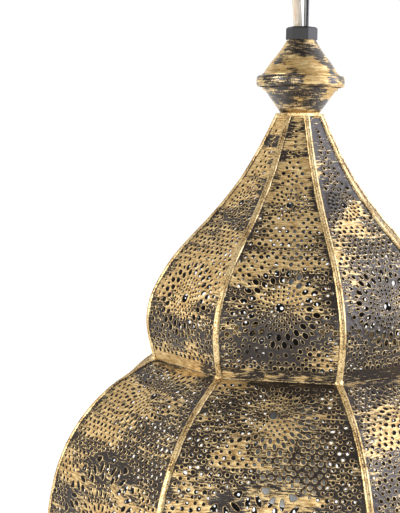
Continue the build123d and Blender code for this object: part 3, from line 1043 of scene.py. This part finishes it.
def bowl_holes(plan: PunchPlan) -> None:
    """Punches the bowl's pattern: dots, a small rosette, ground, a large rosette, ground and a row of drops.

    Args:
        plan: The empty sheet.
    """
    small = plan.along(-18.7)
    plan.add(0.0, small, 6.2, corners=14)
    for radius, count, start in ((6.2, 10, 0.0), (9.4, 15, 0.5), (12.6, 20, 0.0), (15.8, 25, 0.5)):
        plan.ring(small, radius, count, 1.9, 2.2, start=start)
    plan.ring(small, 20.2, 24, 2.6, 4.5, corners=10)
    plan.ring(small, 24.6, 24, 2.7, 4.6, start=0.5, corners=10)
    plan.ring(small, 29.2, 24, 2.8, 4.4, corners=10)
    large = plan.along(-106.5)
    petals = 16
    plan.add(0.0, large, 8.0, corners=16)
    plan.ring(large, 7.6, 12, 2.2)
    plan.ring(large, 12.4, 14, 2.8, 5.0, start=0.5, corners=12)
    plan.ring(large, 17.0, 24, 2.2)
    plan.ring(large, 21.8, 24, 2.4, 5.4, start=0.5, corners=12)
    plan.ring(large, 27.4, 32, 2.3, start=0.5)
    plan.ring(large, 34.2, petals, 3.7, 6.2, start=0.5, corners=12)
    for i in range(petals):
        way = math.tau * i / petals
        for side in (-1, 1):
            lean = way + side * 0.107
            plan.add(40.2 * math.sin(lean), large - 40.2 * math.cos(lean), 3.4, 8.2,
                     math.pi + way + side * 0.44, corners=14)
        plan.add(46.8 * math.sin(way), large - 46.8 * math.cos(way), 5.6, 5.2, way, 0.66, 12)
    plan.keep_out = ((small, 32.0), (large, 52.5))
    bottom = plan.profile.length / MM
    for i in range(-9, 10):
        plan.add(i * 6.4, bottom - 8.5, 2.9, 5.0, taper=-0.2, corners=12)
    plan.lattice(3.0, bottom - 3.0, 5.8, 4.0, 2.5, 0.6)
    plan.lattice(58.0, bottom - 4.0, 5.8, 4.0, 1.9)


PANEL_WEAR = (-0.02, 0.02, 0.03, -0.03, 0.02, -0.01, 0.02, 0.01)  # more gold on some panels than on others


def dome_wear(panel: int, heights: np.ndarray) -> np.ndarray:
    """How much more gold the dome's sheet carries at each height.

    Args:
        panel: The panel's number, from 0 at the front.
        heights: Millimetres over the waist.

    Returns:
        The share that is added.
    """
    low = -0.12 if panel == 0 else -0.05
    foot = {0: -0.06, 7: 0.12}.get(panel, 0.0)
    bare = np.interp(heights, (30, 60, 100, 125, 150), (0.20, 0.26, 0.22, 0.26, 0.30)) if panel == 1 else 0.0
    steps = (foot, foot, low, low, 0.03, 0.05, 0.05, 0.26)
    return PANEL_WEAR[panel] + np.interp(heights, (0, 8, 20, 48, 80, 130, 174, 187), steps) - bare


def bowl_wear(panel: int, heights: np.ndarray) -> np.ndarray:
    """How much more gold the bowl's sheet carries at each height, as for the dome."""
    return PANEL_WEAR[panel] + np.interp(
        heights, (-190, -110, -75, -60, -30, 0), (0.0, 0.0, -0.06, -0.07, -0.03, -0.06))


@dataclass
class PunchedShell:
    """One tier of eight punched panels, with its sizes in millimetres and the waist's height in metres.

    The triangles' corners lie border apart down the sides and ground apart between the holes, and start
    ground_side in from the sides. Mitre is the gap left beside each seam. The black is dark_edge wide along
    the sides and fades over edge_fade; the darkest line right beside each rib is painted shade. The brush
    strokes start streak_shift further on with each panel.
    """

    tier: str
    waist: float
    draw: Callable[[PunchPlan], None]
    worn: Callable[[int, np.ndarray], np.ndarray]
    ends: tuple[float, float]
    side: float = 3.6
    sheet: float = 0.7
    lip: float = 0.42
    lip_height: float = 0.2
    ground: float = 4.2
    ground_side: tuple[float, float] = (1.6, 1.2)
    border: float = 2.5
    mitre: float = 0.14
    dark_edge: float = 2.0
    edge_fade: float = 6.0
    streak_shift: float = 0.37

    def flat_sheet(self, plan: PunchPlan) -> tuple[np.ndarray, list[Sequence[int]], np.ndarray]:
        """Cuts the flat sheet into triangles round its holes.

        Args:
            plan: The holes.

        Returns:
            The flat points in millimetres, the triangles, and 1 for each point on a hole's edge.
        """
        length = plan.profile.length / MM
        trim = self.sheet * TO_CORNER + self.mitre
        downs = np.linspace(0.0, length, int(length / self.border) + 1)
        right = [(plan.half(s) - trim, s) for s in downs]
        left = [(-x, s) for x, s in reversed(right)]
        top = [(x, 0.0) for x in np.linspace(left[-1][0], right[0][0], 6)[1:-1]]
        low = [(x, length) for x in np.linspace(right[-1][0], left[0][0], 14)[1:-1]]
        border = right + low + left + top
        points = [Vector(p) for p in border]
        faces = [list(range(len(points)))]
        edges: list[tuple[int, int]] = []
        rim: set[int] = set()
        for hole in plan.holes:
            for grow in (self.lip, 0.0):
                first = len(points)
                points.extend(Vector(p) for p in hole.outline(grow))
                count = len(points) - first
                edges.extend((first + i, first + (i + 1) % count) for i in range(count))
                if grow == 0.0:
                    faces.append(list(range(first, len(points))))
                    rim.update(range(first, len(points)))
        centres = np.array([(h.across, h.along, max(h.wide, h.long) / 2 + self.lip + plan.gap)
                            for h in plan.holes])
        for s in np.arange(self.ground, length - 1.0, self.ground):
            half = plan.half(s)
            for x in np.arange(self.ground_side[0] - half, half - self.ground_side[1], self.ground):
                if np.all(np.hypot(centres[:, 0] - x, centres[:, 1] - s) > centres[:, 2]):
                    points.append(Vector((x, s)))
        out, _, tris, from_points, _, from_faces = delaunay_2d_cdt(points, edges, faces, 0, 1e-5)
        kept = [t for t, origin in zip(tris, from_faces) if list(origin) == [0]]
        flat = np.array([tuple(p) for p in out], float)
        edge = np.array([1.0 if any(i in rim for i in ids) else 0.0 for ids in from_points])
        return flat, kept, edge

    def first_panel(self) -> Object:
        """Makes the panel that faces -Y.

        Returns:
            The panel, with its UV map and attributes.
        """
        profile = Profile(f"{self.tier}_panel_1")
        plan = PunchPlan(profile, self.waist, self.side, self.ends)
        self.draw(plan)
        flat, faces, edge = self.flat_sheet(plan)
        shape = profile.bend(flat[:, 0] * MM, flat[:, 1] * MM, edge * self.lip_height * MM)
        name = f"{self.tier}_sheet_1"
        mesh = bpy.data.meshes.new(name)
        mesh.from_pydata(shape.tolist(), [], [tuple(f) for f in faces])
        mesh.update()
        loops = np.zeros(len(mesh.loops), int)
        mesh.loops.foreach_get("vertex_index", loops)
        uv = mesh.uv_layers.new(name="Flat")
        uv.data.foreach_set("uv", (flat[loops] * MM).ravel())
        carry(mesh, "rim", edge)
        # edge: 1 beside the ribs and fading inwards; the finish takes gold away there and paints a shade line
        # next to each rib
        widths = np.array([plan.half(s) for s in flat[:, 1]])
        inwards = widths - np.abs(flat[:, 0]) - self.dark_edge
        carry(mesh, "edge", np.clip(1.0 - inwards / self.edge_fade, 0.0, 1.0))
        panel = add_piece(name, mesh)
        if mesh.polygons[0].normal.y > 0:
            mesh.flip_normals()
        choose(panel)
        dress(panel, BrushedSheet(f"{self.tier}_brushed").material(),
              DullInside(f"{self.tier}_inside").material())
        wall = panel.modifiers.new("wall", "SOLIDIFY")
        wall.thickness = self.sheet * MM
        wall.offset = -1.0
        wall.use_even_offset = True
        wall.material_offset = 1
        wall.material_offset_rim = 1
        bpy.ops.object.modifier_apply(modifier="wall")
        bpy.ops.object.shade_smooth_by_angle(angle=math.radians(38))
        LOG.info("%s sheet: %d holes, %d faces", self.tier, len(plan.holes), len(panel.data.polygons))
        return panel

    def build(self) -> None:
        """Makes the eight panels, each a turned copy with its own mesh and its own streaks."""
        first = self.first_panel()
        for k in range(SIDES):
            piece = turned(first, f"{self.tier}_sheet", k)
            flat = piece.data.uv_layers["Flat"].data
            uv = np.zeros(len(flat) * 2)
            flat.foreach_get("uv", uv)
            flat.foreach_set("uv", uv + self.streak_shift * k)
            places = np.zeros(len(piece.data.vertices) * 3)
            piece.data.vertices.foreach_get("co", places)
            heights = (places[2::3] - self.waist) / MM
            carry(piece.data, "worn", self.worn(k, heights))
            hang(piece, f"{self.tier}_panel_{k + 1}")


@dataclass
class FoldedRibs:
    """Eight folded strips over the seams of a tier, each with two beads and a sunk fold between them."""

    tier: str
    top: float
    bottom: float
    row: float = 0.0022
    # each point: offset from the seam and lift in millimetres, and how dark it is; the darkness on the middle
    # line is the black left in the fold, the darkness at the outer borders is painted shade
    section: tuple[tuple[float, float, float], ...] = (
        (0.0, 0.72, 0.8), (0.3, 0.82, 0.4), (0.7, 1.08, 0.0), (1.3, 1.17, 0.0), (1.9, 1.08, 0.0),
        (2.4, 0.80, 0.1), (2.62, 0.5, 0.9), (2.75, 0.0, 1.6))

    def build(self) -> None:
        """Rolls one strip and copies it round the lantern."""
        profile = Profile(f"{self.tier}_panel_1")
        first, last = profile.at_height(self.top), profile.at_height(self.bottom)
        rows = np.linspace(first, last, int((last - first) / self.row))
        halves = [(-offset, lift, dark) for offset, lift, dark in reversed(self.section)]
        # the underside is dark with the same painted shade as the borders
        under = [(2.3, 0.0, 1.0), (0.0, 0.0, 1.0), (-2.3, 0.0, 1.0)]
        ring = [*halves, *self.section[1:], *under]
        turn = Matrix.Rotation(SIDE, 3, "Z")
        points, groove_and_edge_shade = [], []
        wobble = np.random.default_rng(11)
        wave = np.interp(rows, np.linspace(first, last, 40), wobble.normal(0.0, 0.05, 40))
        for s, sway in zip(rows, wave):
            for offset, lift, dark in ring:
                lift = max(0.0, lift * (1 + sway)) if lift < 1.1 else lift
                flat = profile.bend(np.zeros(1), np.array([s]), np.array([lift * MM]))[0]
                x = -flat[1] * TO_CORNER - abs(offset) * MM
                place = Vector((x, flat[1], flat[2]))
                if offset > 0:
                    place = turn @ Vector((-x, flat[1], flat[2]))
                points.append(place)
                groove_and_edge_shade.append(dark)
        rib = piece_from(f"{self.tier}_strip_1", np.array([tuple(p) for p in points]),
                         loft_faces(len(rows), len(ring)))
        carry(rib.data, "groove_and_edge_shade", groove_and_edge_shade)
        dress(rib, TrimGold(f"{self.tier}_trim").material())
        for k in range(SIDES):
            hang(turned(rib, f"{self.tier}_strip", k), f"{self.tier}_rib_{k + 1}")
        LOG.info("%s strips: %d faces each", self.tier, len(rib.data.polygons))


def spun(name: str, section: Sequence[tuple[float, float]], steps: int = 96) -> Object:
    """Spins a closed section round the lantern's axis.

    Args:
        name: The piece's name.
        section: Radius and height of each corner, in millimetres.
        steps: Faces round the axis.

    Returns:
        The piece, with its faces outwards.
    """
    mesh = bpy.data.meshes.new(name)
    points = [(r * MM, 0.0, z * MM) for r, z in section]
    mesh.from_pydata(points, [(i, (i + 1) % len(points)) for i in range(len(points))], [])
    made = add_piece(name, mesh)
    open_edit(made)
    bpy.ops.mesh.spin(steps=steps, angle=math.tau, center=(0, 0, 0), axis=(0, 0, 1))
    bpy.ops.mesh.select_all(action="SELECT")
    bpy.ops.mesh.remove_doubles(threshold=1e-6)
    close_edit(42)
    return made


@dataclass
class Finial:
    """Two spun cones with a bead between them."""

    wall: float = 0.9

    def sizes(self, node: str) -> tuple[float, float, float]:
        """The outer radius, bottom and top of a CAD node, in millimetres."""
        low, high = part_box(node)
        return high.x / MM, low.z / MM, high.z / MM

    def shell(self, name: str, outer: Sequence[tuple[float, float]], finish: FinialMetal) -> None:
        """Spins an outer line with its inner wall and puts it in place of its CAD node.

        Args:
            name: The CAD node.
            outer: The outer line, from one end to the other.
            finish: Its finish.
        """
        inner = [(max(r - self.wall, 6.0), z) for r, z in reversed(outer)]
        piece = spun(name.replace("finial", "spun"), [*outer, *inner])
        dress(piece, finish.material())
        hang(piece, name)

    def build(self) -> None:
        """Makes the three spun pieces."""
        radius, low, high = self.sizes("finial_upper_cone")
        top = 11.0
        rise = high - low
        line = [(top - 0.5, high), (top + 0.1, high - 0.25)]
        for t in np.linspace(0.04, 0.93, 12):
            swell = t - 0.03 * math.sin(math.tau * t)
            line.append((top + (radius - 0.5 - top) * swell, high - rise * t))
        line += [(radius - 0.25, low + 1.3), (radius, low + 0.8), (radius, low)]
        self.shell("finial_upper_cone", line, FinialMetal("upper_cone_metal", 0.04))
        radius, low, high = self.sizes("finial_ring")
        middle, half = (low + high) / 2, (high - low) / 2
        edge = ((4.6, 0.0), (1.7, 0.0), (1.0, 0.25), (0.35, 1.0))  # depth and height of the rolled edge
        band = [(radius - depth, high - down) for depth, down in edge]
        for t in np.linspace(-0.62, 0.62, 7):
            band.append((radius - 0.25 * t * t, middle - half * t))
        band += [(radius - depth, low + up) for depth, up in reversed(edge)]
        # the bead carries less gold than the cones: partly its own darker finish, partly painted shade that
        # sets it off from them
        self.shell("finial_ring", band, FinialMetal("bead_metal", -0.07))
        radius, low, high = self.sizes("finial_lower_cone")
        foot = 14.8
        line = [(radius - 0.4, high), (radius, high - 0.4), (radius, high - 1.8), (radius - 0.5, high - 2.4)]
        for t in np.linspace(0.1, 0.92, 12):
            line.append((radius + (foot - radius) * t, high + (low - high) * t))
        line += [(foot, low + 0.7), (foot + 0.5, low + 0.3), (foot + 0.3, low)]
        self.shell("finial_lower_cone", line, FinialMetal("lower_cone_metal", -0.02))
        LOG.info("finial spun")


@dataclass
class Solder:
    """Lumps of brass solder at the waist's corners and a ragged lip round the top of the dome."""

    waist: float
    top: float
    size: Point = (0.0026, 0.0033, 0.0026)
    outwards: float = 0.0012
    seed: int = 5

    def lump(self, name: str, place: Vector, rng: np.random.Generator) -> Object:
        """Makes one uneven lump.

        Args:
            name: The piece's name.
            place: Its middle.
            rng: Where its unevenness comes from.

        Returns:
            The lump.
        """
        deselect_all()
        bpy.ops.mesh.primitive_ico_sphere_add(subdivisions=3, radius=1.0)
        lump = bpy.context.object
        lump.name = lump.data.name = name
        points = np.array([v.co for v in lump.data.vertices], float)
        waves = rng.normal(0.0, 1.0, (5, 3)) * 2.2
        phase = rng.uniform(0.0, 6.28, 5)
        points *= (1.0 + 0.10 * np.sin(points @ waves.T + phase).sum(axis=1) / 2.2)[:, None]
        turn = np.array(Matrix.Rotation(math.atan2(place.y, place.x), 3, "Z"))
        points = (points * np.array(self.size)) @ turn.T + np.array(place)
        lump.data.vertices.foreach_set("co", points.ravel())
        lump.data.update()
        choose(lump)
        bpy.ops.object.shade_smooth()
        return lump

    def build(self) -> None:
        """Sets the lumps and the lip."""
        rng = np.random.default_rng(self.seed)
        gold = TrimGold("solder_gold", 0.12).material()
        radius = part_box("waist_ring")[1].x / math.cos(HALF_SIDE)
        for k in range(SIDES):
            way = SIDE * k - math.pi / 2 + HALF_SIDE
            place = Vector((math.cos(way), math.sin(way), 0.0)) * (radius + self.outwards)
            place.z = self.waist + float(rng.uniform(-0.0004, 0.0006))
            lump = self.lump(f"waist_solder_{k + 1}", place, rng)
            dress(lump, gold)
            hang(lump)
        section = ((14.9, 0.3), (17.6, 0.2), (18.9, -0.6), (18.6, -1.8), (16.6, -1.2))
        lip = spun("dome_top_lip", [(r, self.top / MM + up) for r, up in section], 120)
        points = np.array([v.co for v in lip.data.vertices], float)
        way = np.arctan2(points[:, 1], points[:, 0])
        corner = 1 / np.cos((way + math.pi / 2 + HALF_SIDE) % SIDE - HALF_SIDE)
        rough = 1 + 0.022 * np.sin(9 * way + 1) + 0.02 * np.sin(23 * way + 2) + 0.014 * np.sin(41 * way)
        points[:, :2] *= (corner * 0.955 * rough)[:, None]
        points[:, 2] += 0.00035 * np.sin(17 * way + 0.4) + 0.0003 * np.sin(31 * way)
        lip.data.vertices.foreach_set("co", points.ravel())
        lip.data.update()
        dress(lip, gold)
        hang(lip)
        LOG.info("solder set")


NODE_FINISHES: dict[str, FinialMetal | TrimGold | Plain] = {
    "finial": FinialMetal(), "top_plate": TrimGold("plate_gold"), "waist_ring": TrimGold("ring_gold", -0.15),
    "bottom_rim": TrimGold("rim_gold"), "top_bush": PLASTIC_BLACK, "bush_lock_nut": PLASTIC_BLACK,
    "hanging_loop": WIRE_COAT, "wire_ferrules": FERRULE, "ceiling_hook": ZINC, "ceiling_bracket": ZINC,
    "anchor_plate": ZINC, "tie_tube": ZINC, "tie_nuts": ZINC, "canopy_cup": CANOPY_METAL,
    "hook_collar": PLASTIC_BLACK, "cable_grommet": RUBBER, "terminal_block": TERMINAL, "holder": HOLDER,
    "holder_contact": BRASS, "inner_lead": LEAD_COAT, "bulb_globe": OPAL, "bulb_housing": HOUSING,
    "bulb_screw_cap": CAP_METAL, "bulb_contact": BRASS,
}


def dress_nodes(frame: dict) -> None:
    """Gives each CAD node that stays its own finish.
    """
    made: dict[str, Material] = {}
    for name, node in frame["nodes"].items():
        if node.hide_render:
            continue
        finish = NODE_FINISHES[max((start for start in NODE_FINISHES if name.startswith(start)), key=len)]
        if finish.name not in made:
            made[finish.name] = finish.material()
        node.data.materials.clear()
        node.data.materials.append(made[finish.name])
        choose(node)
        bpy.ops.object.shade_smooth_by_angle(angle=math.radians(30))


def main() -> None:
    """Builds the studio, the cable, the shells and the fittings in that order."""
    logging.basicConfig(level=logging.INFO, format="%(name)s: %(message)s")
    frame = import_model()
    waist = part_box("dome_panel_1")[0].z
    studio = Studio(waist)
    studio.camera()
    SupplyCable().build()
    studio.build()
    dome_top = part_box("dome_panel_1")[1].z
    PunchedShell("dome", waist, dome_holes, dome_wear, (6.0, 7.0)).build()
    PunchedShell("bowl", waist, bowl_holes, bowl_wear, (3.0, 3.0)).build()
    short, over_ring, under_ring = 0.0004, 0.0005, 0.0016  # from the edges, over the waist and under it
    FoldedRibs("dome", dome_top - short, waist + over_ring).build()
    FoldedRibs("bowl", waist - under_ring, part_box("bowl_panel_1")[0].z + short).build()
    Finial().build()
    Solder(waist, dome_top).build()
    dress_nodes(frame)


if __name__ == "__main__":
    main()
